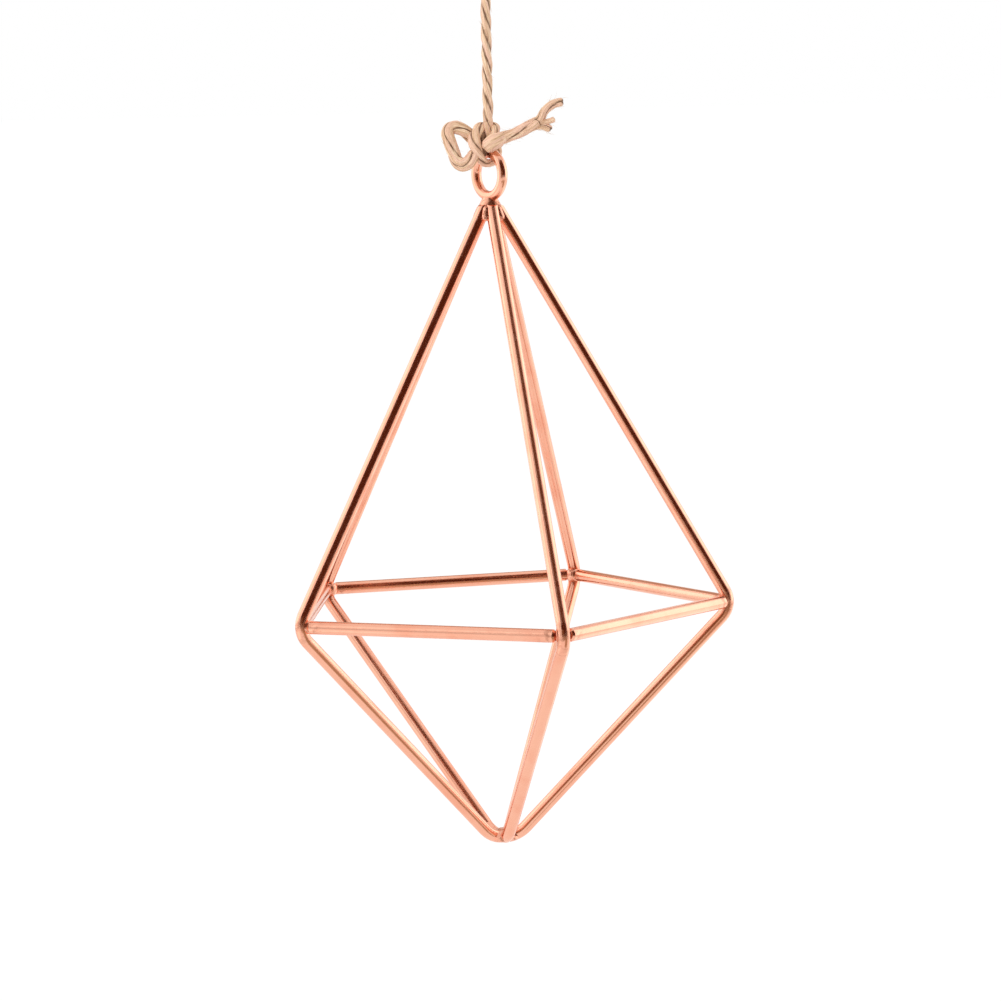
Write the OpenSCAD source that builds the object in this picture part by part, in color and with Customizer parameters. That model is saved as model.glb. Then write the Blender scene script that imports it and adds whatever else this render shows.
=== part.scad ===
// Hanging holder for an air plant: a five-sided frame of bent and welded round rod on a length of twine.
// Sizes are in millimetres. The origin is the point inside the hanging loop that bears on a hook, +Z is up
// and rib_1 points along +X.

/* [Frame] */
// Thickness of the round rod that the ribs and ring rods are cut from
rod_d = 3.5; // [2.9:0.1:4.2]
// Distance from the axis to where a rib's two straight legs would meet
ring_r = 64; // [52:1:80]
// Height from that level up to where the five upper legs would meet
top_h = 112.8; // [92:0.1:140]
// Depth from that level down to where the five lower legs would meet
base_h = 67.5; // [56:0.1:84]
// Centre-line radius of a rib's bend at its ring corner
bend_r = 6; // [5:0.1:8]
// Centre-line radius of the bend that lays a rib's foot flat under the middle
foot_r = 8.5; // [7:0.1:10.5]
// Gap between the bend and the end of a ring rod, which the corner weld fills
ring_end_gap = 0.45; // [0.4:0.05:0.8]
// Length of the taper that the saw leaves at each end of a ring rod
ring_rod_taper = 0.5; // [0.3:0.1:0.8]
// How much thinner the rod is drawn where it is bent
bend_thinning = 0.04; // [0.04:0.01:0.1]

/* [Welds] */
// Radius of the bead in each ring corner
corner_bead_r = 2.2; // [2:0.1:2.6]
// How far the bead's centre lies inside the rib's centre line
corner_bead_in = 1.2; // [1:0.1:1.5]
// Radius of each bead in the grooves between the rod ends at the apex
apex_bead_r = 1.1; // [0.9:0.05:1.3]
// How far a bead's centre line lies outside the middle between its two rods
apex_bead_out = 0.9; // [0.7:0.05:1.1]
// How far the upper end of a bead lies under the tops of the rods
apex_bead_down = 1.8; // [1.5:0.1:2.2]
// Length of each bead at the apex, from centre to centre of its round ends
apex_bead_l = 2.2; // [1.6:0.1:3]
// Radius of the pad of filler under the middle
base_fill_r = 4.3; // [3.8:0.1:5]
// How far the pad reaches under the rods' centre lines
base_fill_down = 0.9; // [0.7:0.1:1.2]
// How far it is domed up above them
base_fill_up = 2.3; // [2:0.1:2.8]

/* [Eye] */
// Thickness of the eye's wire
eye_wire = 2.8; // [2.3:0.1:3.4]
// Centre-line radius of the eye
eye_r = 5.8; // [5.2:0.1:7.5]
// Way the eye's plane faces, measured from +X about the axis
eye_turn = -50; // [-90:1:90]
// Gap between the eye and the rod ends, filled by the eye weld
eye_seat_gap = 0.2; // [0.1:0.05:0.4]
// Height from where the upper legs would meet up to the eye's centre
eye_rise = 5.5; // [4.8:0.1:6.5]
// Width of the saddle of filler at its foot
saddle_w = 6.4; // [6:0.1:7]
// How far the saddle's foot lies under the tops of the rods
saddle_sink = 1.1; // [0.9:0.1:1.3]
// Height of the saddle of filler
saddle_h = 2.5; // [2.2:0.1:2.8]
// How much narrower the saddle is at its top
saddle_taper = 2.6; // [2:0.1:3]

/* [Twine] */
// Thickness of the twine where it is pulled taut
twine_d = 2.7; // [2.2:0.1:3.3]
// Thickness of the twine where it is slack and its lay opens
slack_d = 3.6; // [3:0.1:4.2]
// Thickness of the twine where it is squeezed round the eye's wire
squeezed_d = 2.2; // [1.8:0.1:2.6]
// Thickness of the tail's thinner bundle of plies
upper_end_d = 2.5; // [2:0.1:3]
// Thickness of the tail's thicker bundle of plies
lower_end_d = 2.9; // [2.4:0.1:3.4]
// Room between the twine's turn and the eye's wire
turn_gap = 0.2; // [0.2:0.05:0.5]
// Height of the knot above the eye
knot_h = 6.7; // [6:0.1:8]
// Height of the knot under the hanging loop
top_knot_h = 7; // [6:0.1:8]

/* [Hidden] */
RIBS = 5;

COPPER = "#d99a80";
WELD = "#c98a6e";
TWINE = "#d2a47c";
TWINE_DARK = "#b98a62";

$fn = 48;
STEP = 360 / RIBS;
HALF = STEP / 2;
rod_r = rod_d / 2;
big = 400;

// Routes of the twine, hand-laid. The standing part hangs straight down from the knot under the loop.
STANDING = [for (z = [-27:-3:-66]) [0, 0, z], [0, 0, -70]];
// The hanging loop, a bight that leaves the top knot and comes back to it.
TOP_LOOP = [
    [-1.6, 0, -21.5], [-2.6, 0, -18], [-4.2, 0, -14], [-5.4, 0, -10], [-5.8, 0, -6], [-4.9, 0, -2.4],
    [-2.8, 0, 0.4], [0, 0, 1.35], [2.8, 0, 0.4], [4.9, 0, -2.4], [5.8, 0, -6], [5.4, 0, -10],
    [4.2, 0, -14], [2.6, 0, -18], [1.6, 0, -21.5]
];
// The bow loop and the tail are measured from the eye's topmost point on its wire's centre line.
BOW_LOOP = [
    [-3.4, 0.6, 3.6], [-5, 0.1, 4.6], [-6.4, -0.4, 5.5], [-7.7, -0.9, 6.3], [-9, -1.4, 6.8],
    [-10.3, -1.7, 6.5], [-11.2, -1.9, 5.5], [-11.3, -2, 4], [-10.8, -2.2, 2.1], [-10, -2.4, 0],
    [-9.1, -2.5, -1.7], [-8, -2.6, -2.6], [-6.7, -2.7, -2.7], [-5.5, -2.7, -2], [-4.4, -2.6, -0.7],
    [-3.2, -2.5, 1]
];
TAIL = [
    [1.8, -1.8, 3.6], [3.6, -1.8, 4], [5.6, -1.6, 4.7], [7.8, -1.5, 5.4], [10, -1.4, 6.3],
    [12.2, -1.3, 7.3], [14, -1.3, 8.3]
];
TAIL_UPPER = [
    [13, -1.3, 7.9], [14.2, -1.3, 9.1], [15, -1.3, 10.6], [16, -1.2, 11.8], [17.4, -1.1, 12.7],
    [18.9, -1, 13.2], [20.4, -0.9, 13.3]
];
TAIL_LOWER = [
    [13, -1.4, 7.4], [14.4, -1.5, 7.7], [15.6, -1.5, 7.5], [16.8, -1.6, 7.4], [18, -1.7, 7.6]
];

KNOT_WRAPS = [
    [[0.3, 0, 1.7], [0, 12, 0], twine_d, 3],
    [[-0.7, -0.2, -0.4], [10, -38, 0], twine_d, 3.2],
    [[0.8, -0.3, -0.3], [-14, 30, 0], twine_d - 0.3, 3.4]
];
TOP_KNOT_WRAPS = [
    [[0.4, 0, -1.2], [8, 24, 0], twine_d, 3],
    [[-0.3, 0, 1.3], [-6, 16, 0], twine_d, 3]
];
// Reach of the flat cuts at a knot's two ends.
knot_clear = 12;

// Heights along the axis, from the hook down.
standing_top_z = STANDING[0][2];
knot_top_z = STANDING[len(STANDING) - 1][2];
knot_foot_z = knot_top_z - knot_h;
eye_axis_z = knot_foot_z - turn_gap - eye_wire / 2;
eye_z = eye_axis_z - eye_r;
legs_meet_z = eye_z - eye_rise;
rod_top_z = eye_z - eye_r - eye_wire / 2 - eye_seat_gap;
ring_z = legs_meet_z - top_h;
turn_r = (eye_wire + squeezed_d) / 2 + turn_gap;

// How far a straight piece runs on into the bend that follows it, inside the bend's thinner section.
lap = 0.2;

// The rib's centre line, in the plane through the axis: x outwards, z up, from the level ring_z.
upper_slope = atan2(top_h, ring_r);
lower_slope = atan2(base_h, ring_r);
bend_turn = 180 - upper_slope - lower_slope;
bend_reach = bend_r * tan(bend_turn / 2);
bend_at = [ring_r, 0] + bend_r / cos(bend_turn / 2)
    * [-cos((upper_slope - lower_slope) / 2), sin((upper_slope - lower_slope) / 2)];
upper_start = [ring_r, 0] + bend_reach * [-cos(upper_slope), sin(upper_slope)];
lower_start = [ring_r, 0] - bend_reach * [cos(lower_slope), sin(lower_slope)];
foot_at = [0, foot_r / cos(lower_slope) - base_h];
lower_end = foot_at + foot_r * [sin(lower_slope), -cos(lower_slope)];
foot_z = foot_at[1] - foot_r;
corner_r = bend_at[0] + bend_r;
rod_top = rod_top_z - ring_z;
dome_r = 2 * rod_d;
apex_cut_depth = 1.5;

// How far the rods' centre lines stand from the axis at height z above the ring level.
function leg_r(z) = (top_h - z) / tan(upper_slope);

// How far the beads at the apex lie from the axis at height z above the ring level.
function groove_r(z) = leg_r(z) * cos(HALF) + apex_bead_out;

// Corners of one ring of a tube: n points at radius r about p, square to the direction t.
function ring_at(p, t, r, n) = let (s = unit(cross(t, [0, 1, 0])), u = cross(s, t))
    [for (i = [0:n - 1]) p + r * (cos(360 * i / n) * s + sin(360 * i / n) * u)];

function unit(v) = v / norm(v);

// Direction of a route at its point i.
function heading(path, i) = unit(path[min(i + 1, len(path) - 1)] - path[max(i - 1, 0)]);

// A round tube of n sides along a route, closed at both ends.
module tube(path, d, n = 8) {
    rings = len(path);
    points = [for (i = [0:rings - 1]) each ring_at(path[i], heading(path, i), d / 2, n)];
    sides = [for (i = [0:rings - 2], j = [0:n - 1]) let (a = i * n + j, b = i * n + (j + 1) % n)
        each [[a, a + n, b], [b, a + n, b + n]]];
    first_cap = [for (j = [1:n - 2]) [0, j, j + 1]];
    last_cap = [for (j = [1:n - 2]) (rings - 1) * n * [1, 1, 1] + [0, j + 1, j]];
    polyhedron(points, concat(sides, first_cap, last_cap));
}

// A straight rod between two points of a plane through the axis.
module leg(from, to) {
    run = to - from;
    translate([from[0], 0, from[1]])
        rotate([0, atan2(run[0], run[1]), 0])
            translate([0, 0, -lap])
                cylinder(h = norm(run) + 2 * lap, r = rod_r);
}

// A bend of the rod in a plane through the axis, from one angle to a larger one about its centre.
module bend(centre, radius, from, to) {
    translate([centre[0], 0, centre[1]])
        rotate([90, -from, 0])
            rotate_extrude(angle = to - from)
                translate([radius, 0])
                    circle(r = rod_r - bend_thinning / 2);
}

module upper_leg() {
    leg(upper_start, [leg_r(rod_top + rod_d), rod_top + rod_d]);
}

module corner_bend() {
    bend(bend_at, bend_r, lower_slope - 90, 90 - upper_slope);
}

module lower_leg() {
    leg(lower_end, lower_start);
}

module foot_bend() {
    bend(foot_at, foot_r, -90, lower_slope - 90);
}

// Half spaces that mitre a rib against its two neighbours along the axis.
module mitre_cuts() {
    for (side = [-1, 1])
        rotate([0, 0, side * HALF])
            translate([-4 * rod_d, side > 0 ? 0 : -2 * rod_d, -big / 2])
                cube([8 * rod_d, 2 * rod_d, big]);
}

// The low dome that the rod ends are ground to under the eye, a part of this ball.
module apex_dome() {
    translate([0, 0, rod_top - dome_r])
        sphere(r = dome_r);
}

// What is ground off the rod ends.
module apex_cut() {
    difference() {
        translate([0, 0, rod_top - apex_cut_depth])
            cylinder(h = 4 * rod_d, r = 3 * rod_d);
        apex_dome();
    }
}

// One rib without its colour or place: upper leg, corner bend, lower leg and foot.
module rib_body() {
    difference() {
        union() {
            upper_leg();
            corner_bend();
            lower_leg();
            foot_bend();
        }
        mitre_cuts();
        apex_cut();
    }
}

// Places what follows at rib k, from the ring level.
module at_rib(k) {
    translate([0, 0, ring_z])
        rotate([0, 0, (k - 1) * STEP])
            children();
}

module rib(k) {
    color(COPPER)
        at_rib(k)
            rib_body();
}

// A straight rod with tapered ends that ties a corner to the next one.
module ring_rod_body() {
    end = corner_r * sin(HALF) - rod_r - ring_end_gap;
    flank = end - ring_rod_taper;
    tip_r = rod_r - ring_rod_taper;
    rotate([0, 0, HALF])
        translate([corner_r * cos(HALF), 0, bend_at[1]])
            rotate([90, 0, 0])
                rotate_extrude()
                    polygon([
                        [0, -end], [tip_r, -end], [rod_r, -flank],
                        [rod_r, flank], [tip_r, end], [0, end]
                    ]);
}

module ring_rod(k) {
    color(COPPER)
        at_rib(k)
            ring_rod_body();
}

// The bead in a ring corner, shaped by the bend and the two rods that it joins.
module corner_weld(k) {
    color(WELD)
        at_rib(k)
            difference() {
                translate([corner_r - corner_bead_in, 0, bend_at[1]])
                    sphere(r = corner_bead_r);
                corner_bend();
                ring_rod_body();
                rotate([0, 0, -STEP])
                    ring_rod_body();
            }
}

module five_times() {
    for (k = [0:RIBS - 1])
        rotate([0, 0, k * STEP])
            children();
}

// A bead along the groove between two neighbouring rod ends, blunt at both ends.
module apex_bead() {
    top = rod_top - apex_bead_down;
    foot = top - apex_bead_l;
    lean = atan2(groove_r(top) - groove_r(foot), top - foot);
    half = norm([groove_r(top) - groove_r(foot), top - foot]) / 2;
    blunt = apex_bead_r * cos(45);
    difference() {
        rotate([0, 0, HALF])
            translate([groove_r((foot + top) / 2), 0, (foot + top) / 2])
                rotate([0, lean, 0])
                    rotate_extrude()
                        polygon([
                            [0, -half - apex_bead_r], [blunt, -half - blunt], [apex_bead_r, -half],
                            [apex_bead_r, half], [blunt, half + blunt], [0, half + apex_bead_r]
                        ]);
        for (a = [0, STEP])
            rotate([0, 0, a])
                upper_leg();
    }
}

// The five beads that close the grooves at the apex.
module apex_weld() {
    color(WELD)
        translate([0, 0, ring_z])
            five_times()
                apex_bead();
}

// A pad of filler that bridges the five feet, domed on the side where the plant sits.
module base_weld() {
    color(WELD)
        translate([0, 0, ring_z])
            difference() {
                translate([0, 0, foot_z])
                    rotate_extrude()
                        polygon([
                            [0, -base_fill_down], [base_fill_r - 0.6, -base_fill_down],
                            [base_fill_r, 0.6 - base_fill_down], [base_fill_r, 0.5],
                            [base_fill_r - 0.9, 1.3], [2.4, base_fill_up - 0.4],
                            [1.2, base_fill_up], [0, base_fill_up]
                        ]);
                five_times()
                    foot_bend();
            }
}

module eye_ring_body() {
    translate([0, 0, eye_z])
        rotate([90, 0, eye_turn])
            rotate_extrude()
                translate([eye_r, 0])
                    circle(d = eye_wire);
}

module eye_ring() {
    color(COPPER)
        eye_ring_body();
}

// The saddle that carries the eye: a low mound on the dome of rod ends, up both sides of the ring.
module eye_weld() {
    color(WELD)
        difference() {
            translate([0, 0, rod_top_z - saddle_sink])
                cylinder(h = saddle_h, d1 = saddle_w, d2 = saddle_w - saddle_taper);
            eye_ring_body();
            translate([0, 0, ring_z])
                apex_dome();
        }
}

// The turn of twine under the eye's topmost wire, with an arm up each side to the knot.
module twine_eye_turn() {
    color(TWINE)
        translate([0, 0, eye_axis_z])
            rotate([0, 0, eye_turn + 90]) {
                rotate([90, 180, 0])
                    rotate_extrude(angle = 180)
                        translate([turn_r, 0])
                            circle(d = squeezed_d - bend_thinning);
                for (side = [-1, 1])
                    translate([side * turn_r, 0, -lap])
                        cylinder(h = knot_foot_z - eye_axis_z + lap, d = squeezed_d);
            }
}

// A knot from one height up to another: a core, what follows, and rings of twine round them. Each wrap is
// its middle from the knot's own middle, its tilt, the radius of its turn and its thickness.
module knot_between(foot, top, wraps) {
    difference() {
        union() {
            translate([0, 0, foot])
                cylinder(h = top - foot, r = twine_d);
            children();
            for (w = wraps)
                translate([0, 0, (foot + top) / 2] + w[0])
                    rotate(w[1])
                        rotate_extrude()
                            translate([w[2], 0])
                                circle(d = w[3]);
        }
        for (z = [foot - knot_clear, top])
            translate([0, 0, z])
                cylinder(h = knot_clear, r = knot_clear);
    }
}

// The pulled-up knot: a collar round the standing part and two slanting wraps over a core.
module twine_knot() {
    color(TWINE_DARK)
        knot_between(knot_foot_z, knot_top_z, KNOT_WRAPS)
            translate([0, 0, knot_foot_z])
                cylinder(h = knot_h / 2, r1 = turn_r + squeezed_d / 2, r2 = twine_d);
}

module twine_bow_loop() {
    color(TWINE)
        translate([0, 0, eye_axis_z])
            tube(BOW_LOOP, slack_d);
}

module twine_tail() {
    color(TWINE)
        translate([0, 0, eye_axis_z])
            tube(TAIL, slack_d);
}

// The tail's plies part into two bundles, a thinner one that curls up and a stub that droops.
module tail_upper_end() {
    color(TWINE)
        translate([0, 0, eye_axis_z])
            tube(TAIL_UPPER, upper_end_d);
}

module tail_lower_end() {
    color(TWINE_DARK)
        translate([0, 0, eye_axis_z])
            tube(TAIL_LOWER, lower_end_d);
}

// Every second point of the standing part's route carries a ring of its tube.
module twine_standing() {
    last = len(STANDING) - 1;
    color(TWINE)
        tube([for (i = [0:2:last]) STANDING[i]], twine_d);
}

module twine_top_knot() {
    color(TWINE_DARK)
        knot_between(standing_top_z, standing_top_z + top_knot_h, TOP_KNOT_WRAPS);
}

module twine_top_loop() {
    color(TWINE)
        tube(TOP_LOOP, twine_d);
}

for (k = [1:RIBS]) {
    rib(k);
    ring_rod(k);
    corner_weld(k);
}
apex_weld();
base_weld();
eye_ring();
eye_weld();
twine_eye_turn();
twine_knot();
twine_bow_loop();
twine_tail();
tail_upper_end();
tail_lower_end();
twine_standing();
twine_top_knot();
twine_top_loop();
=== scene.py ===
import math

import bpy
import numpy as np
from mathutils import Matrix, Vector


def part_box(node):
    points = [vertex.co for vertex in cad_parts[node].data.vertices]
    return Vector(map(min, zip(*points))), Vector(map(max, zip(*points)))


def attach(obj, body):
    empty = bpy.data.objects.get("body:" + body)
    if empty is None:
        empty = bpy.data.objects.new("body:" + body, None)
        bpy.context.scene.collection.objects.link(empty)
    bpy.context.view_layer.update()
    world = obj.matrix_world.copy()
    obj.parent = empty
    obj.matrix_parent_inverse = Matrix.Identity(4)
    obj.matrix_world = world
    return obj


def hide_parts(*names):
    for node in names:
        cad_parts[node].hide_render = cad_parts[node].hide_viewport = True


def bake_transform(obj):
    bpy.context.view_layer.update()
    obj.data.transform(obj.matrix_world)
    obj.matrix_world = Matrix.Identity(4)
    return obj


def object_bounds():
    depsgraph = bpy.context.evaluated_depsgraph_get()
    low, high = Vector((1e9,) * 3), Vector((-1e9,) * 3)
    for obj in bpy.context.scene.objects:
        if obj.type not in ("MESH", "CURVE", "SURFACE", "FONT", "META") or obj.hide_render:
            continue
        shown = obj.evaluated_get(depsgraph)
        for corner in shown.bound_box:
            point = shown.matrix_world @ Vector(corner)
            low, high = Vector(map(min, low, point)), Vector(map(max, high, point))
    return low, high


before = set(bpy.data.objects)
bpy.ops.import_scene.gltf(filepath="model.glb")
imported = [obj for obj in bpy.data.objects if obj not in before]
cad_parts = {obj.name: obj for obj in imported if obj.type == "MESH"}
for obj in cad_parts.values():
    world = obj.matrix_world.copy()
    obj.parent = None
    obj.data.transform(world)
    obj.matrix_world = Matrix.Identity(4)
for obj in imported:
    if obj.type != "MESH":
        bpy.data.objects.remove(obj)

MM = 0.001
cad_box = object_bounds()


# The frame is bent from drawn steel rod, welded at its corners and then plated with bright copper.
# The plating is a mirror with faint lines along the rod, and it is browner beside the welds.
class Value:
    """A socket of a material, with the arithmetic that the materials here are written in."""

    def __init__(self, finish, socket):
        self.finish = finish
        self.socket = socket

    def math(self, operation, *others):
        """A Math node of this socket and the others, which are sockets or numbers."""
        return self.finish.node("ShaderNodeMath", {"operation": operation},
                                {i: v for i, v in enumerate((self, *others))})

    def __add__(self, other):
        return self.math("ADD", other)

    def __radd__(self, other):
        return self.math("ADD", other)

    def __sub__(self, other):
        return self.math("SUBTRACT", other)

    def __rsub__(self, other):
        return self.finish.node("ShaderNodeMath", {"operation": "SUBTRACT"}, {0: other, 1: self})

    def __mul__(self, other):
        return self.math("MULTIPLY", other)

    def __rmul__(self, other):
        return self.math("MULTIPLY", other)

    def at_least(self, other):
        """The larger of the two values."""
        return self.math("MAXIMUM", other)


class Finish:
    """A material in the making, with one Principled surface."""

    def __init__(self, name):
        self.material = bpy.data.materials.new(name)
        self.material.use_nodes = True
        self.tree = self.material.node_tree
        self.surface = self.tree.nodes["Principled BSDF"]

    def node(self, kind, settings, inputs, output=0):
        """Adds a node: its settings first, then a number, colour or link for each socket named."""
        made = self.tree.nodes.new(kind)
        for key, setting in settings.items():
            if key == "stops":
                while len(made.color_ramp.elements) < len(setting):
                    made.color_ramp.elements.new(0.5)
                for element, (place, colour) in zip(made.color_ramp.elements, setting):
                    element.position = place
                    element.color = (*colour, 1)
            else:
                setattr(made, key, setting)
        for key, given in inputs.items():
            if isinstance(given, Value):
                self.tree.links.new(given.socket, made.inputs[key])
            else:
                made.inputs[key].default_value = given
        return Value(self, made.outputs[output])

    def object_place(self):
        """The place on the piece, in metres, in the frame that all pieces share."""
        return self.node("ShaderNodeTexCoord", {}, {}, 3)

    def distance(self, place, point):
        """How far a place is from a fixed point."""
        return self.node("ShaderNodeVectorMath", {"operation": "DISTANCE"}, {0: place, 1: point}, 1)

    def mix(self, first, second, factor):
        """The first colour where factor is 0, turning to the second where it is 1."""
        first, second = [(*c, 1) if isinstance(c, tuple) else c for c in (first, second)]
        return self.node("ShaderNodeMix", {"data_type": "RGBA"}, {0: factor, 6: first, 7: second}, 2)

    def noise(self, place, scale, detail=3, roughness=0.55):
        """Soft random lumps, about scale of them to a unit of the place."""
        return self.node("ShaderNodeTexNoise", {},
                         {"Vector": place, "Scale": scale, "Detail": detail, "Roughness": roughness})

    def step(self, value, low, high):
        """0 below low and 1 above high, with a soft rise between them."""
        return self.node("ShaderNodeMapRange", {"interpolation_type": "SMOOTHSTEP"},
                         {0: value, 1: low, 2: high})

    def bump(self, strength, distance, height):
        """A bent normal for a surface that rises by distance, in metres, where height is 1."""
        return self.node("ShaderNodeBump", {},
                         {"Strength": strength, "Distance": distance, "Height": height})

    def finish(self, **sockets):
        """Sets or links the surface's sockets, whose names are written with _ for a space."""
        for key, given in sockets.items():
            socket = self.surface.inputs[key.replace("_", " ")]
            if isinstance(given, Value):
                self.tree.links.new(given.socket, socket)
            else:
                socket.default_value = (*given, 1) if isinstance(given, tuple) else given
        return self.material


copper_bright = (0.93, 0.47, 0.325)
copper_rosy = (0.90, 0.405, 0.27)
copper_brown = (0.34, 0.12, 0.06)
corners = 5
corner_angle = 360 / corners
rod_radius = 1.75 * MM
ring_bend_out = 62.6 * MM
ring_bend_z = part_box("ring_rod_1")[0][2] + rod_radius
half_corner = math.radians(corner_angle / 2)
ring_rod_end = (ring_bend_out * math.cos(half_corner), ring_bend_out * math.sin(half_corner))
rib_heat = 5.5 * MM
ring_rod_heat = 8.5 * MM
eye_angle = -50


def drawn_copper(name, turn, along, joint=(ring_bend_out, 0), reach=rib_heat):
    """Bright copper plate. turn is the angle about Z, in degrees, that brings the rod into the plane of X and
    Z; along is how much each of the turned X, Y and Z is stretched by the drawing lines. joint is where the
    rod meets a corner, in the turned X and Y, and reach is how far from there the heat has browned it."""
    copper = Finish(name)
    turned = copper.node("ShaderNodeMapping", {},
                         {"Vector": copper.object_place(), "Rotation": (0, 0, -math.radians(turn))})
    lines = copper.noise(copper.node("ShaderNodeMapping", {}, {"Vector": turned, "Scale": along}), 2600, 3)
    patch = copper.noise(turned, 95, 3)
    fog = copper.noise(turned, 420, 4, 0.65)
    pits = copper.noise(turned, 2100, 2)
    folded = copper.node("ShaderNodeVectorMath", {"operation": "ABSOLUTE"}, {0: turned})
    corner = copper.distance(folded, (*joint, abs(ring_bend_z)))
    heat = (1 - copper.step(corner, 0.3 * reach, reach)) * copper.step(fog, 0.46, 0.62)
    plate = copper.mix(copper_bright, copper_rosy, copper.step(patch, 0.4, 0.7))
    colour = copper.mix(plate, copper_brown, heat * 0.5 + copper.step(pits, 0.72, 0.8) * 0.3)
    rough = 0.14 + copper.step(fog, 0.35, 0.75) * 0.07 + lines * 0.05 + heat * 0.12
    bump = copper.bump(0.12, 0.00002, lines + fog * 0.8 - copper.step(pits, 0.7, 0.8))
    return copper.finish(Base_Color=colour, Metallic=1.0, Roughness=rough, Normal=bump)


def plate_node(name, material):
    """Gives a solid of the frame its one material."""
    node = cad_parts[name]
    node.data.materials.clear()
    node.data.materials.append(material)


for k in range(corners):
    plate_node(f"rib_{k + 1}", drawn_copper(f"copper_rib_{k + 1}", corner_angle * k, (0.05, 1, 0.05)))
    plate_node(f"ring_rod_{k + 1}", drawn_copper(f"copper_ring_rod_{k + 1}", corner_angle * (k + 0.5),
                                                 (1, 0.02, 1), ring_rod_end, ring_rod_heat))
plate_node("eye_ring", drawn_copper("copper_eye", eye_angle, (0.2, 1, 0.2)))

# The welds are small beads of filler, run round the joints by hand and plated with the rest. They're duller
# than the rods, with ripples, small craters and brown spots where flux was left. Below the front of the eye
# the weld round the top of the front rod is painted brown, as a painted dark reflection.
dark_reflection_place = (1.0 * MM, -2.8 * MM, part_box("eye_weld")[0][2] - 0.4 * MM)
dark_reflection_core = 1.2 * MM
dark_reflection_reach = 2.4 * MM


def weld_finish():
    """Copper plate over filler: lumps, craters and flux spots, with a painted dark reflection in one place.
    """
    weld = Finish("plated_weld")
    place = weld.object_place()
    lump = weld.noise(place, 620, 3, 0.6)
    crater = weld.noise(place, 1500, 2)
    spot = weld.noise(place, 900, 2)
    # Painted dark reflection: the weld is painted brown close to one point below the front of the eye.
    painted_dark_reflection = (1 - weld.step(weld.distance(place, dark_reflection_place), dark_reflection_core, dark_reflection_reach)) * 0.85
    plate = weld.mix(copper_bright, copper_rosy, weld.step(lump, 0.35, 0.65))
    colour = weld.mix(plate, copper_brown, (weld.step(spot, 0.54, 0.68) * 0.75).at_least(painted_dark_reflection))
    bump = weld.bump(0.6, 0.00025, lump - weld.step(crater, 0.6, 0.72) * 0.3)
    return weld.finish(Base_Color=colour, Metallic=1.0, Roughness=0.2 + lump * 0.2, Normal=bump)


weld = weld_finish()
for name in [f"corner_weld_{k + 1}" for k in range(corners)] + ["apex_weld", "base_weld", "eye_weld"]:
    plate_node(name, weld)


# The jute twine is three plies of brown-gold fibre, spun one way and laid together the other way.
# Its grooves are painted dark as painted shade, and some bundles of fibre are bleached paler and pinker.
jute_brown = (0.38, 0.21, 0.115)
jute_tan = (0.65, 0.405, 0.24)
jute_pale = (0.85, 0.58, 0.385)
jute_straw = (0.97, 0.82, 0.59)
jute_pink = (0.88, 0.55, 0.43)
jute_bark = (0.20, 0.09, 0.042)
jute_groove_shade = (0.14, 0.062, 0.03)


def jute_finish():
    """Jute: fibre streaks from the piece's own fibre places, and painted shade in the grooves from its own
    depth.
    """
    jute = Finish("jute")
    fibre = jute.node("ShaderNodeAttribute", {"attribute_name": "fibre"}, {}, 1)
    depth = jute.node("ShaderNodeAttribute", {"attribute_name": "depth"}, {}, 2)
    streak = jute.noise(fibre, 1.6, 4, 0.6)
    bundle = jute.noise(fibre, 0.55, 2)
    hair = jute.noise(fibre, 5.0, 2, 0.7)
    streaked = jute.node("ShaderNodeValToRGB", {"stops": [
        (0.27, jute_brown), (0.42, jute_tan), (0.55, jute_pale), (0.72, jute_straw)]}, {0: streak})
    bleached = jute.mix(streaked, jute_pink, jute.step(bundle, 0.42, 0.62) * 0.65)
    flecked = jute.mix(bleached, jute_bark, jute.step(hair, 0.60, 0.70) * 0.5)
    # Painted shade: the colour darkens where the depth is low, in the grooves between plies, near the ends
    # and all over strands given less light.
    groove = 1 - jute.step(depth + streak * 0.35, 0.24, 0.62)
    colour = jute.mix(flecked, jute_groove_shade, groove * 0.88)
    bump = jute.bump(0.6, 0.0001, streak * 0.6 + hair * 0.5)
    return jute.finish(Base_Color=colour, Roughness=0.9 - streak * 0.25, Normal=bump,
                       Specular_IOR_Level=0.25)


jute = jute_finish()
twine_thick = 2.7 * MM
slack_thick = 3.6 * MM
lay_length = 17 * MM
station = 0.25 * MM
ply_sides = 36
hair_thick = 0.07 * MM

# These are shares of the twine's thickness: a ply's middle and its outer edge stand off the twine's middle by
# ply_off and ply_edge, an end is rounded over nose_length and shaded over end_shade, and a loose fibre is
# rooted hair_root from the middle. proud is how far the plies swell past the thickness that the CAD has.
ply_off = 0.205
ply_edge = 0.505
nose_length = 0.3
end_shade = 0.35
hair_root = 0.46
proud = 1.03

# A ply sways and swells by these shares of its offset and its radius, over these lengths. Its ridges of
# fibre, each so many to a turn and so high, wind back against the lay by ply_spin and drift a little. The
# streaks of the jute are drawn out to fibre_length and narrowed by fibre_breadth.
sway = 0.06
sway_length = 11 * MM
swell = 0.04
swell_length = 7 * MM
ply_ridges = ((3, 0.03), (5, 0.035), (8, 0.03), (12, 0.02))
ply_spin = 0.8
ridge_drift = 1.4
drift_length = 9 * MM
fibre_length = 6 * MM
fibre_breadth = 2.2


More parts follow.
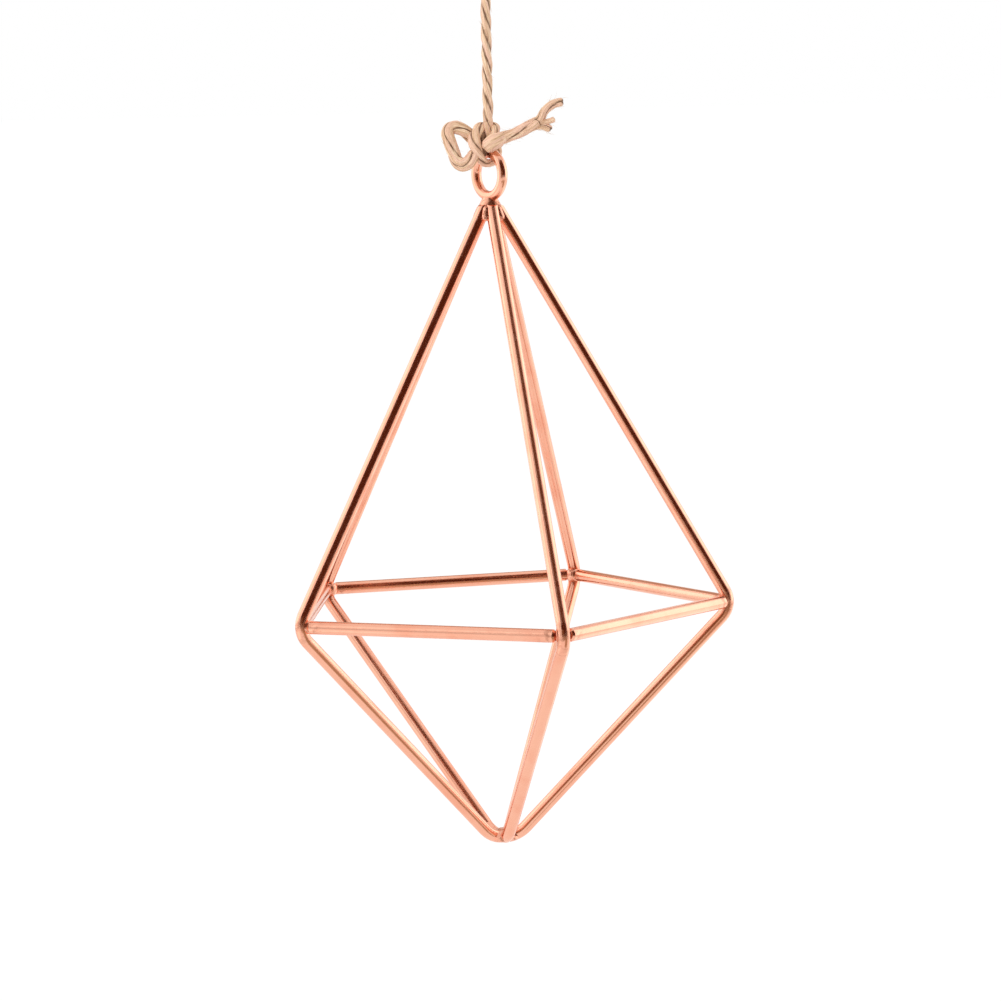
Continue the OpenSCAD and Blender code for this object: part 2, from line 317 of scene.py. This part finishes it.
def smooth_line(points):
    """A smooth line through given points, cut into even lengths of one station. Between two points
    it is the cubic whose slope at each is half the step between that point's neighbours."""
    p = np.asarray(points, float)
    p = np.vstack([2 * p[0] - p[1], p, 2 * p[-1] - p[-2]])
    place = np.linspace(0, len(p) - 3, 40 * (len(p) - 3) + 1)
    i = np.minimum(place.astype(int), len(p) - 4)
    f = (place - i)[:, None]
    a, b, c, d = p[i], p[i + 1], p[i + 2], p[i + 3]
    fine = 0.5 * (2 * b + (c - a) * f + (2 * a - 5 * b + 4 * c - d) * f ** 2
                  + (3 * b - a - 3 * c + d) * f ** 3)
    run = np.append(0, np.cumsum(np.linalg.norm(np.diff(fine, axis=0), axis=1)))
    along = np.linspace(0, run[-1], int(run[-1] / station) + 2)
    return np.stack([np.interp(along, run, axis) for axis in fine.T], 1), along


def unit(v):
    """Each vector divided by its length."""
    return v / np.linalg.norm(v, axis=-1, keepdims=True)


def steady_frame(line):
    """Directions along a line and two square to it that don't roll. A side direction is taken square to the
    line and to the axis that the line runs along least; then it is turned back by the sum of the angles by
    which it rolls from each station to the next."""
    along = unit(np.gradient(line, axis=0))
    least = np.eye(3)[np.argmin(np.abs(along).max(axis=0))]
    side = unit(np.cross(along, least))
    swing = np.cross(along[:-1], along[1:])
    cosine = np.sum(along[:-1] * along[1:], axis=1, keepdims=True)
    lean = np.sum(swing * side[:-1], axis=1, keepdims=True)
    carried = cosine * side[:-1] + np.cross(swing, side[:-1]) + swing * lean / (1 + cosine)
    roll = np.arctan2(np.sum(np.cross(side[1:], carried) * along[1:], axis=1),
                      np.sum(side[1:] * carried, axis=1))
    roll = np.append(0, np.cumsum(roll))[:, None]
    first = np.cos(roll) * side + np.sin(roll) * np.cross(along, side)
    return along, first, np.cross(along, first)


def wander(along, length, seed):
    """A slow random swing between about -1 and 1, the sum of three sines of random phase."""
    phase = np.random.default_rng(seed).uniform(0, 2 * np.pi, 3)
    return sum(np.sin(2 * np.pi * along * k / length + phase[i]) / (i + 1.5)
               for i, k in enumerate((1, 1.7, 3.1)))


def plies(points, thick, seed, lay=lay_length, count=3, start=0.0, rounded=(True, True), light=1.0):
    """Plies laid round a line, as rows of rings. thick is the twine's thickness, or its thicknesses at even
    steps of the line. The centre of ply k stands off the line by ply_off times the thickness, at the angle
    start + 2 pi (run / lay + k / count). Its section is a circle whose radius rises and falls with ridges of
    fibre, cosines of 3, 5, 8 and 12 times the angle round the ply; a rounded end is a quarter ellipse.
    The depth is 0 in the grooves between the plies and 1 on their crowns, times light; the jute is painted
    darker where it is low, as painted shade, so light below 1 paints the whole strand in shade."""
    line, run = smooth_line(points)
    along, first, second = steady_frame(line)
    rng = np.random.default_rng(seed)
    theta = np.linspace(0, 2 * np.pi, ply_sides, endpoint=False)
    size = np.interp(run / run[-1], np.linspace(0, 1, np.size(thick)), np.ravel(thick))
    offset = ply_off if count > 1 else 0.0
    round_size = ply_edge - offset
    half_gap = offset * math.sin(math.pi / count)
    groove = offset * math.cos(math.pi / count) + math.sqrt(max(round_size ** 2 - half_gap ** 2, 0.0))
    to_end = np.minimum(run if rounded[0] else run[-1], run[-1] - run if rounded[1] else run[-1])
    nose = np.sqrt(np.clip(1 - (1 - np.clip(to_end / (nose_length * size), 0, 1)) ** 2, 0.04, 1))
    end_depth = np.clip(0.25 + to_end / (end_shade * size), 0, 1)[:, None]
    rings, fibre, depth = [], [], []
    for k in range(count):
        phi = (start + 2 * np.pi * (run / lay + k / count))[:, None]
        out = np.cos(phi) * first - np.sin(phi) * second
        stand = offset * size * (1 + sway * wander(run, sway_length, seed + 10 * k))
        centre = line + stand[:, None] * out
        ply_along = unit(np.gradient(centre, axis=0))
        ply_out = unit(out - np.sum(out * ply_along, axis=1, keepdims=True) * ply_along)
        ply_side = np.cross(ply_along, ply_out)
        spin = theta[None] - ply_spin * phi
        ridge = sum(high * np.cos(m * spin + rng.uniform(0, 6.28)
                                  + ridge_drift * wander(run, drift_length, seed + m + k)[:, None])
                    for m, high in ply_ridges)
        even = round_size * size * nose * (1 + swell * wander(run, swell_length, seed + 3 * k))
        radius = even[:, None] * (1 + ridge)
        ring = (centre[:, None] + radius[..., None] * (np.cos(theta)[None, :, None] * ply_out[:, None]
                                                       + np.sin(theta)[None, :, None] * ply_side[:, None]))
        rings.append(ring)
        across = np.linalg.norm(ring - line[:, None], axis=-1) / size[:, None]
        crown = (across - groove) / (ply_edge - groove) if count > 1 else np.ones(across.shape)
        depth.append(light * np.clip(crown, 0, 1) * end_depth)
        fibre.append(np.stack([np.broadcast_to(run[:, None] / fibre_length + 7 * k + seed, spin.shape),
                               fibre_breadth * np.cos(spin), fibre_breadth * np.sin(spin)], -1))
    return {"rings": np.array(rings), "fibre": np.array(fibre), "depth": np.array(depth)}


def stray_hairs(points, thick, number, seed, reach=3.0 * MM):
    """Fibres that have worked loose. Each is a thin three-sided tube from a random place on the twine: it
    sets off along the twine and a little outwards, and curls by the square of its run."""
    line, run = smooth_line(points)
    along, first, second = steady_frame(line)
    rng = np.random.default_rng(seed)
    at = rng.integers(0, len(line), number)
    angle = rng.uniform(0, 2 * np.pi, (number, 1))
    out = np.cos(angle) * first[at] + np.sin(angle) * second[at]
    side = np.cross(along[at], out)
    way = unit(along[at] * rng.choice([-1, 1], (number, 1)) + out * rng.uniform(0.15, 0.7, (number, 1)))
    length = reach * rng.uniform(0.35, 1, (number, 1))
    curl = out * rng.uniform(-0.6, 0.35, (number, 1)) + side * rng.uniform(-0.6, 0.6, (number, 1))
    u = np.linspace(0, 1, 8)[None, :, None]
    root = line[at] + hair_root * thick * out
    middle = root[:, None] + length[:, None] * (u * way[:, None] + u ** 2 * curl[:, None])
    theta = np.linspace(0, 2 * np.pi, 3, endpoint=False)[None, None, :, None]
    radius = 0.5 * hair_thick * (1 - 0.7 * u[..., None])
    over = unit(np.cross(way, side))
    rings = middle[:, :, None] + radius * (np.cos(theta) * over[:, None, None]
                                           + np.sin(theta) * np.cross(way, over)[:, None, None])
    fibre = np.zeros(rings.shape)
    fibre[..., 0] = rng.uniform(0, 40, (number, 1, 1))
    return {"rings": rings, "fibre": fibre, "depth": np.ones(rings.shape[:3])}


def twine_piece(name, batches):
    """A mesh of closed tubes. Each batch holds rows of rings; neighbouring rings are joined by quads, and
    each row's end rings are closed by a fan of triangles round a point at their middle."""
    points, fibre, depth, faces, used = [], [], [], [], 0
    for batch in batches:
        rings = batch["rings"]
        rows, length, sides = rings.shape[:3]
        at = used + np.arange(rows * length * sides).reshape(rows, length, sides)
        beside = np.roll(at, -1, axis=2)
        quads = np.stack([at[:, :-1], beside[:, :-1], beside[:, 1:], at[:, 1:]], -1).reshape(-1, 4)
        ends = used + at.size + np.arange(2 * rows).reshape(rows, 2, 1) + np.zeros((1, 1, sides), int)
        fans = np.concatenate([np.stack([beside[:, 0], at[:, 0], ends[:, 0]], -1).reshape(-1, 3),
                               np.stack([at[:, -1], beside[:, -1], ends[:, 1]], -1).reshape(-1, 3)])
        faces += quads.tolist() + fans.tolist()
        for store, field in ((points, rings), (fibre, batch["fibre"]), (depth, batch["depth"][..., None])):
            middles = field[:, [0, -1]].mean(axis=2)
            store += [field.reshape(-1, field.shape[-1]), middles.reshape(-1, field.shape[-1])]
        used += at.size + 2 * rows
    mesh = bpy.data.meshes.new(name)
    mesh.from_pydata(np.concatenate(points), [], faces)
    mesh.polygons.foreach_set("use_smooth", np.ones(len(faces), bool))
    mesh.attributes.new("fibre", "FLOAT_VECTOR", "POINT").data.foreach_set(
        "vector", np.concatenate(fibre).astype(np.float32).ravel())
    mesh.attributes.new("depth", "FLOAT", "POINT").data.foreach_set(
        "value", np.concatenate(depth).astype(np.float32).ravel())
    mesh.materials.append(jute)
    mesh.update()
    piece = bpy.data.objects.new(name, mesh)
    bpy.context.scene.collection.objects.link(piece)
    return piece


# The twine ends above the picture in a hanging loop, a bight of the same jute that is tied back on itself.
# The knot under it is two and a half turns pulled up round the standing part.
TOP_LOOP = np.array([
    [-1.6, 0, -21.5], [-2.6, 0, -18], [-4.2, 0, -14], [-5.4, 0, -10], [-5.8, 0, -6], [-4.9, 0, -2.4],
    [-2.8, 0, 0.4], [0, 0, 1.35], [2.8, 0, 0.4], [4.9, 0, -2.4], [5.8, 0, -6], [5.4, 0, -10],
    [4.2, 0, -14], [2.6, 0, -18], [1.6, 0, -21.5]]) * MM
top_loop = twine_piece("hanging_loop", [plies(TOP_LOOP, twine_thick, 11),
                                        stray_hairs(TOP_LOOP, twine_thick, 60, 12)])
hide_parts("twine_top_loop")
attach(top_loop, "line")

top_knot_steps = 28
top_knot_turns = 2.6
top_knot_reach = 2.75
top_knot_slant = 0.9
top_knot_thick = 2.6 * MM
top_knot_core_thick = 3.4 * MM
top_knot_angle = np.linspace(0, 2 * np.pi * top_knot_turns, top_knot_steps)
top_knot_rise = np.linspace(-26, -20.8, top_knot_steps)
TOP_KNOT = np.stack([top_knot_reach * np.cos(top_knot_angle), top_knot_reach * np.sin(top_knot_angle),
                     top_knot_rise + top_knot_slant * np.cos(top_knot_angle)], 1)
TOP_KNOT = np.vstack([[0.6, 0.4, -27.4], [1.9, 0, -26.4], TOP_KNOT, [1.2, 0.9, -19.9],
                      [0.4, 0.2, -20.6]]) * MM
TOP_KNOT_CORE = np.array([[0, 0, -27], [0, 0, -25], [0, 0, -23], [0, 0, -21], [0, 0, -20.2]]) * MM
top_knot = twine_piece("top_knot", [plies(TOP_KNOT, top_knot_thick, 21),
                                    plies(TOP_KNOT_CORE, top_knot_core_thick, 23),
                                    stray_hairs(TOP_KNOT, top_knot_thick, 50, 22)])
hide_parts("twine_top_knot")
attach(top_knot, "line")

# The standing part is the taut length that carries the holder, from its knot straight up to the hanging
# loop. When the holder turns, this length twists, because its ends are held by the two knots. Its light of
# 0.58 paints it darker all along, as painted shade.
STANDING = np.array([[0, 0, -70]] + [[0, 0, z] for z in range(-66, -26, 3)]) * MM
standing = twine_piece("standing_twine", [
    plies(STANDING, proud * twine_thick, 31, rounded=(False, True), light=0.58),
    stray_hairs(STANDING, twine_thick, 50, 32, 2.0 * MM)])
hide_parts("twine_standing")
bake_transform(standing)

# The knot above the eye: the twine goes round the standing part, down over the left of the knot and
# through the eye, squeezed thin under the wire, and back up behind. In the knot its lay opens and it swells.
# Its light of 0.72 paints it a little darker all along, as painted shade.
eye_axis = np.array([0, 0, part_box("twine_eye_turn")[1][2] / MM - 1.6])
EYE_TURN = (np.array([
    [0.9, -1.6, 3.4], [1.5, -1.9, 4.6], [1.9, -1.1, 5.9], [1.9, 0.3, 6.8], [1.1, 1.6, 7.1],
    [-0.2, 2.1, 7.2], [-1.4, 1.5, 7.2], [-2.2, 0.3, 6.9], [-3.1, -0.9, 5.9], [-3.7, -1.9, 4.3],
    [-3.7, -2.5, 2.5], [-3.0, -2.7, 0.5], [-2.1, -2.3, -1.2], [-1.3, -1.2, -2.45], [0, 0, -2.75],
    [1.3, 1.1, -2.35], [2.1, 1.76, -1.2], [2.3, 1.9, 0.6], [1.9, 1.8, 2.6], [1.0, 1.4, 4.2]])
    + eye_axis) * MM
EYE_TURN_THICK = np.array([2.3, 2.4, 2.5, 2.9, 3.5, 3.6, 2.9, 2.2, 2.2, 2.3, 2.4]) * MM
eye_turn = twine_piece("eye_turn_strand", [plies(EYE_TURN, EYE_TURN_THICK, 41, 16 * MM, light=0.72),
                                           stray_hairs(EYE_TURN, 2.4 * MM, 40, 42, 2.0 * MM)])
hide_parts("twine_eye_turn")
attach(eye_turn, "knot")

# The standing part runs on down into the knot. The tail starts across its front, drawn so hard that its
# plies lie as one flat strand. Behind it the bight of the bow passes through, painted dark as painted shade,
# and a thin strand lies deep in the crease, painted nearly black as the crease's painted shade.
KNOT_CORE = (np.array([[0, 0, 1.5], [0, 0, 3.5], [0, 0, 5.5], [0, 0, 7.5], [0, 0, 9.5]]) + eye_axis) * MM
FRONT_WRAP = (np.array([[1.0, -0.4, 1.8], [0.5, -1.5, 2.0], [0.5, -2.7, 2.3], [1.2, -3.2, 2.8],
                        [2.3, -3.0, 3.3], [3.4, -2.4, 3.9], [4.9, -1.9, 4.45]]) + eye_axis) * MM
FRONT_THICK = np.array([2.6, 3.4, 4.2, 4.5, 4.2, 3.3, 2.3]) * MM
THROUGH = (np.array([[-4.2, 0.8, 3.9], [-2.8, 0.4, 3.5], [-1.4, 0.1, 2.9], [0.0, 0.2, 2.8],
                     [1.4, 0.6, 2.9]]) + eye_axis) * MM
CREASE = (np.array([[-1.2, -0.4, 5.6], [-1.5, -0.9, 4.2], [-1.7, -1.3, 2.8], [-1.8, -1.75, 1.3],
                    [-1.6, -1.95, -0.1], [-1.2, -1.9, -1.1]]) + eye_axis) * MM
core_start = -2 * math.pi * (STANDING[0][2] - KNOT_CORE[0][2]) / lay_length
knot_body = twine_piece("knot_strands", [
    plies(KNOT_CORE, 2.66 * MM, 51, start=core_start),
    plies(FRONT_WRAP, FRONT_THICK, 53, 30 * MM, 1),
    plies(THROUGH, 2.6 * MM, 55, light=0.25),
    plies(CREASE, 1.8 * MM, 57, light=0.1),
    stray_hairs(FRONT_WRAP, 3.9 * MM, 24, 54)])
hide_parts("twine_knot")
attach(knot_body, "knot")

# The bow is a bight of the twine pulled out to the left. Slack jute is stiff and swells, so the bow stands
# open by itself and is thicker than the taut part.
BOW_LOOP = (np.array([
    [-3.4, 0.6, 3.6], [-4.8, 0.1, 4.6], [-6.2, -0.4, 5.8], [-7.7, -0.8, 6.75], [-9.1, -1.2, 7.3],
    [-10.3, -1.6, 6.95], [-10.8, -1.8, 5.7], [-10.5, -2, 4], [-10, -2.1, 1.85], [-9.35, -2.3, -0.3],
    [-8.5, -2.4, -1.9], [-7.15, -2.5, -2.75], [-5.6, -2.6, -2.45], [-4.3, -2.6, -1.3],
    [-3.2, -2.5, 0.5]]) + eye_axis) * MM
bow = twine_piece("bow_loop", [plies(BOW_LOOP, proud * slack_thick, 61, 26 * MM),
                               stray_hairs(BOW_LOOP, slack_thick, 60, 62, 2.4 * MM)])
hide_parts("twine_bow_loop")
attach(bow, "knot")

# The tail is the cut end of the twine. Its plies have come unlaid near the end: a bundle of them curls up,
# and the rest droop as a short stub, cut off at uneven lengths.
tail_lay = 30 * MM
TAIL = (np.array([[1.8, -1.8, 3.6], [3.6, -1.8, 4], [5.6, -1.6, 4.7], [7.8, -1.5, 5.4], [10, -1.4, 6.3],
                  [12.2, -1.3, 7.3], [14, -1.3, 8.3]]) + eye_axis) * MM
TAIL_THICK = np.array([3.6, 3.5, 3.4, 3.35, 3.35, 3.45, 3.7]) * MM
tail = twine_piece("tail", [plies(TAIL, TAIL_THICK, 71, tail_lay), stray_hairs(TAIL, slack_thick, 40, 72)])
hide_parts("twine_tail")
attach(tail, "knot")

TAIL_UPPER = (np.array([[13, -1.3, 7.9], [14.2, -1.3, 9.1], [15, -1.3, 10.6], [16, -1.2, 11.8],
                        [17.4, -1.1, 12.7], [18.9, -1, 13.2], [20.4, -0.9, 13.3]]) + eye_axis) * MM
tail_upper = twine_piece("tail_upper_ply", [plies(TAIL_UPPER, 2.5 * MM, 81, 34 * MM),
                                            stray_hairs(TAIL_UPPER, 2.3 * MM, 50, 82)])
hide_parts("tail_upper_end")
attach(tail_upper, "knot")

TAIL_LOWER = (np.array([[13, -1.4, 7.4], [14.4, -1.5, 7.7], [15.6, -1.5, 7.5], [16.8, -1.6, 7.4],
                        [18, -1.7, 7.6]]) + eye_axis) * MM
spur = np.array([[0, 0, 0], [0, 0, 0.3], [0, 0, 0.6], [0.1, 0, 0.95], [0.1, 0, 1.25]]) * MM
droop = np.array([[0, 0, -0.3], [0, 0, -0.6], [-0.1, 0, -0.7], [-0.4, 0, -1.1], [-1.0, 0, -1.7]]) * MM
tail_lower = twine_piece("tail_lower_plies", [plies(TAIL_LOWER + spur, 1.5 * MM, 91, tail_lay, 1),
                                              plies(TAIL_LOWER + droop, 2.1 * MM, 93, tail_lay, 2),
                                              stray_hairs(TAIL_LOWER + droop, 2.4 * MM, 40, 92)])
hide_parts("tail_lower_end")
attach(tail_lower, "knot")

# The camera stands a metre in front of the ring of rods, a little above it and a little to the right.
# It looks just over the ring, so that the standing twine runs out of the top of the picture.
ring_level = Vector((0, 0, ring_bend_z))
view_turn = math.radians(2.68)
view_rise = math.radians(8.15)
view_roll = math.radians(1.25)
view_distance = 1.0
aim_above_ring = 0.0285
aim_right_of_ring = 0.0011

back = Vector((math.sin(view_turn) * math.cos(view_rise), -math.cos(view_turn) * math.cos(view_rise),
               math.sin(view_rise)))
camera_right = Vector((math.cos(view_turn), math.sin(view_turn), 0))
camera_up = back.cross(camera_right)
camera_place = ring_level + view_distance * back
camera_aim = ring_level + aim_above_ring * camera_up + aim_right_of_ring * camera_right
camera = bpy.data.objects.new("camera", bpy.data.cameras.new("camera"))
camera.data.sensor_width = 36
camera.data.lens = 131.2
camera.matrix_world = (Matrix.Translation(camera_place)
                       @ (camera_aim - camera_place).to_track_quat("-Z", "Y").to_matrix().to_4x4()
                       @ Matrix.Rotation(-view_roll, 4, "Z"))
bpy.context.scene.collection.objects.link(camera)
bpy.context.scene.camera = camera


# The studio is a white room. Cards hang all round the holder and show only in what it reflects: maroon,
# brown and tan ones give the rods their dark and warm streaks, and white ones their bright edges.
def light_path(tree):
    """1 for a ray from the camera, a mirror or glass, and 0 for light that falls on a surface."""
    path = tree.nodes.new("ShaderNodeLightPath")
    total = path.outputs["Is Camera Ray"]
    for other in ("Is Glossy Ray", "Is Transmission Ray"):
        add = tree.nodes.new("ShaderNodeMath")
        add.operation = "MAXIMUM"
        tree.links.new(total, add.inputs[0])
        tree.links.new(path.outputs[other], add.inputs[1])
        total = add.outputs[0]
    return total


room_light = 0.86
world = bpy.data.worlds.new("white_room")
bpy.context.scene.world = world
world.use_nodes = True
room = world.node_tree.nodes["Background"]
room.inputs["Color"].default_value = (1, 1, 1, 1)
strength = world.node_tree.nodes.new("ShaderNodeMapRange")
strength.inputs["To Min"].default_value = room_light
strength.inputs["To Max"].default_value = 1.0
world.node_tree.links.new(light_path(world.node_tree), strength.inputs["Value"])
world.node_tree.links.new(strength.outputs[0], room.inputs["Strength"])


def spread(name, turn, rise, distance, rows=9):
    """A sheet bent round the holder, from turn[0] to turn[1] and rise[0] to rise[1], both angles in degrees:
    each point stands at that bearing from the camera's side, and at distance from the ring's middle."""
    a, e = np.radians(np.meshgrid(np.linspace(*turn, rows), np.linspace(*rise, rows), indexing="ij"))
    points = distance * np.stack([np.sin(a) * np.cos(e), -np.cos(a) * np.cos(e), np.sin(e)], -1)
    points[..., 2] += ring_level.z
    at = np.arange(rows * rows).reshape(rows, rows)
    faces = np.stack([at[:-1, :-1], at[1:, :-1], at[1:, 1:], at[:-1, 1:]], -1).reshape(-1, 4)
    mesh = bpy.data.meshes.new(name)
    mesh.from_pydata(points.reshape(-1, 3), [], faces.tolist())
    sheet = bpy.data.objects.new(name, mesh)
    bpy.context.scene.collection.objects.link(sheet)
    return sheet


def glow(name, colour, level):
    """A plain lit surface."""
    material = bpy.data.materials.new(name)
    material.use_nodes = True
    nodes = material.node_tree.nodes
    nodes.clear()
    light = nodes.new("ShaderNodeEmission")
    light.inputs["Color"].default_value = (*colour, 1)
    light.inputs["Strength"].default_value = level
    out = nodes.new("ShaderNodeOutputMaterial")
    material.node_tree.links.new(light.outputs[0], out.inputs["Surface"])
    return material


maroon = (0.085, 0.024, 0.011)
dark_brown = (0.14, 0.06, 0.03)
brown = (0.22, 0.11, 0.055)
tan = (0.50, 0.38, 0.26)
rosy_grey = (0.55, 0.42, 0.33)
white = (1, 1, 1)
far = 2.2
near = 0.42
cards = {
    "card_over": ((-36, 14), (18, 45), far, maroon, 1.0),
    "card_right": ((8, 66), (-6, 45), far, maroon, 1.0),
    "card_top": ((-16, 66), (45, 62), far, dark_brown, 1.0),
    "card_low": ((-30, 8), (-7, 18), far, brown, 1.0),
    "card_floor": ((22, 62), (-42, -7), near, tan, 1.0),
    "card_left": ((-62, -36), (-7, 12), far, white, 0.80),
    "card_high_left": ((-64, -37), (22, 46), far, white, 1.3),
    "card_low_left": ((-92, -44), (-42, -16), near, white, 1.4),
    "card_far_left": ((-136, -74), (-7, 42), far, white, 1.7),
    "card_far_right": ((84, 136), (-7, 38), far, white, 1.9),
    "card_under": ((-14, 22), (-17, -7), near, tan, 1.0),
    "card_behind": ((176, 216), (14, 50), far, rosy_grey, 1.0),
    "card_low_right": ((104, 150), (-42, -8), near, white, 1.5)}
for name, (turn, rise, away, colour, level) in cards.items():
    card = spread(name, turn, rise, away)
    card.data.materials.append(glow(name, colour, level))
    card.visible_camera = False
    card.visible_diffuse = False
    card.visible_shadow = False


# Two soft boxes light the holder, a large one high on the left and a weaker one on the right, a little
# behind it. They're rectangular lamps behind white cloth, and the rods don't mirror them.
def soft_box(name, turn, rise, width, height, watts, distance=2.0):
    """A rectangular lamp that faces the ring's middle from that bearing and height."""
    lamp = bpy.data.lights.new(name, "AREA")
    lamp.shape = "RECTANGLE"
    lamp.size = width
    lamp.size_y = height
    lamp.energy = watts
    a, e = math.radians(turn), math.radians(rise)
    away = Vector((math.sin(a) * math.cos(e), -math.cos(a) * math.cos(e), math.sin(e)))
    holder = bpy.data.objects.new(name, lamp)
    holder.matrix_world = (Matrix.Translation(ring_level + distance * away)
                           @ (-away).to_track_quat("-Z", "Y").to_matrix().to_4x4())
    holder.visible_camera = False
    holder.visible_glossy = False
    bpy.context.scene.collection.objects.link(holder)


soft_box("soft_box_left", -58, 38, 1.9, 1.1, 15)
soft_box("soft_box_right", 100, 18, 1.2, 1.4, 4)

# The floor is a pale sheet a quarter of a metre under the holder. To the camera and in the rods it is as
# white as the room, while the light that it throws back is a pale floor's own.
floor_below = 0.25
floor_half = 60.0
floor_white = 1.06
floor_share = 0.82
floor_z = cad_box[0][2] - floor_below
floor = bpy.data.objects.new("floor", bpy.data.meshes.new("floor"))
floor.data.from_pydata([(-floor_half, -floor_half, floor_z), (floor_half, -floor_half, floor_z),
                        (floor_half, floor_half, floor_z), (-floor_half, floor_half, floor_z)],
                       [], [(0, 1, 2, 3)])
bpy.context.scene.collection.objects.link(floor)
floor_finish = Finish("pale_floor")
grain = floor_finish.noise(floor_finish.object_place(), 3.0)
floor_finish.finish(Base_Color=floor_finish.mix((0.93, 0.93, 0.93), (0.96, 0.96, 0.96), grain),
                    Roughness=0.9)
tree = floor_finish.tree
shine = tree.nodes.new("ShaderNodeEmission")
shine.inputs["Strength"].default_value = floor_white
blend = tree.nodes.new("ShaderNodeMixShader")
share = tree.nodes.new("ShaderNodeMath")
share.operation = "MULTIPLY"
share.inputs[1].default_value = floor_share
tree.links.new(light_path(tree), share.inputs[0])
tree.links.new(share.outputs[0], blend.inputs[0])
tree.links.new(floor_finish.surface.outputs[0], blend.inputs[1])
tree.links.new(shine.outputs[0], blend.inputs[2])
tree.links.new(blend.outputs[0], tree.nodes["Material Output"].inputs["Surface"])
floor.data.materials.append(floor_finish.material)

bpy.context.scene.view_settings.view_transform = "Standard"
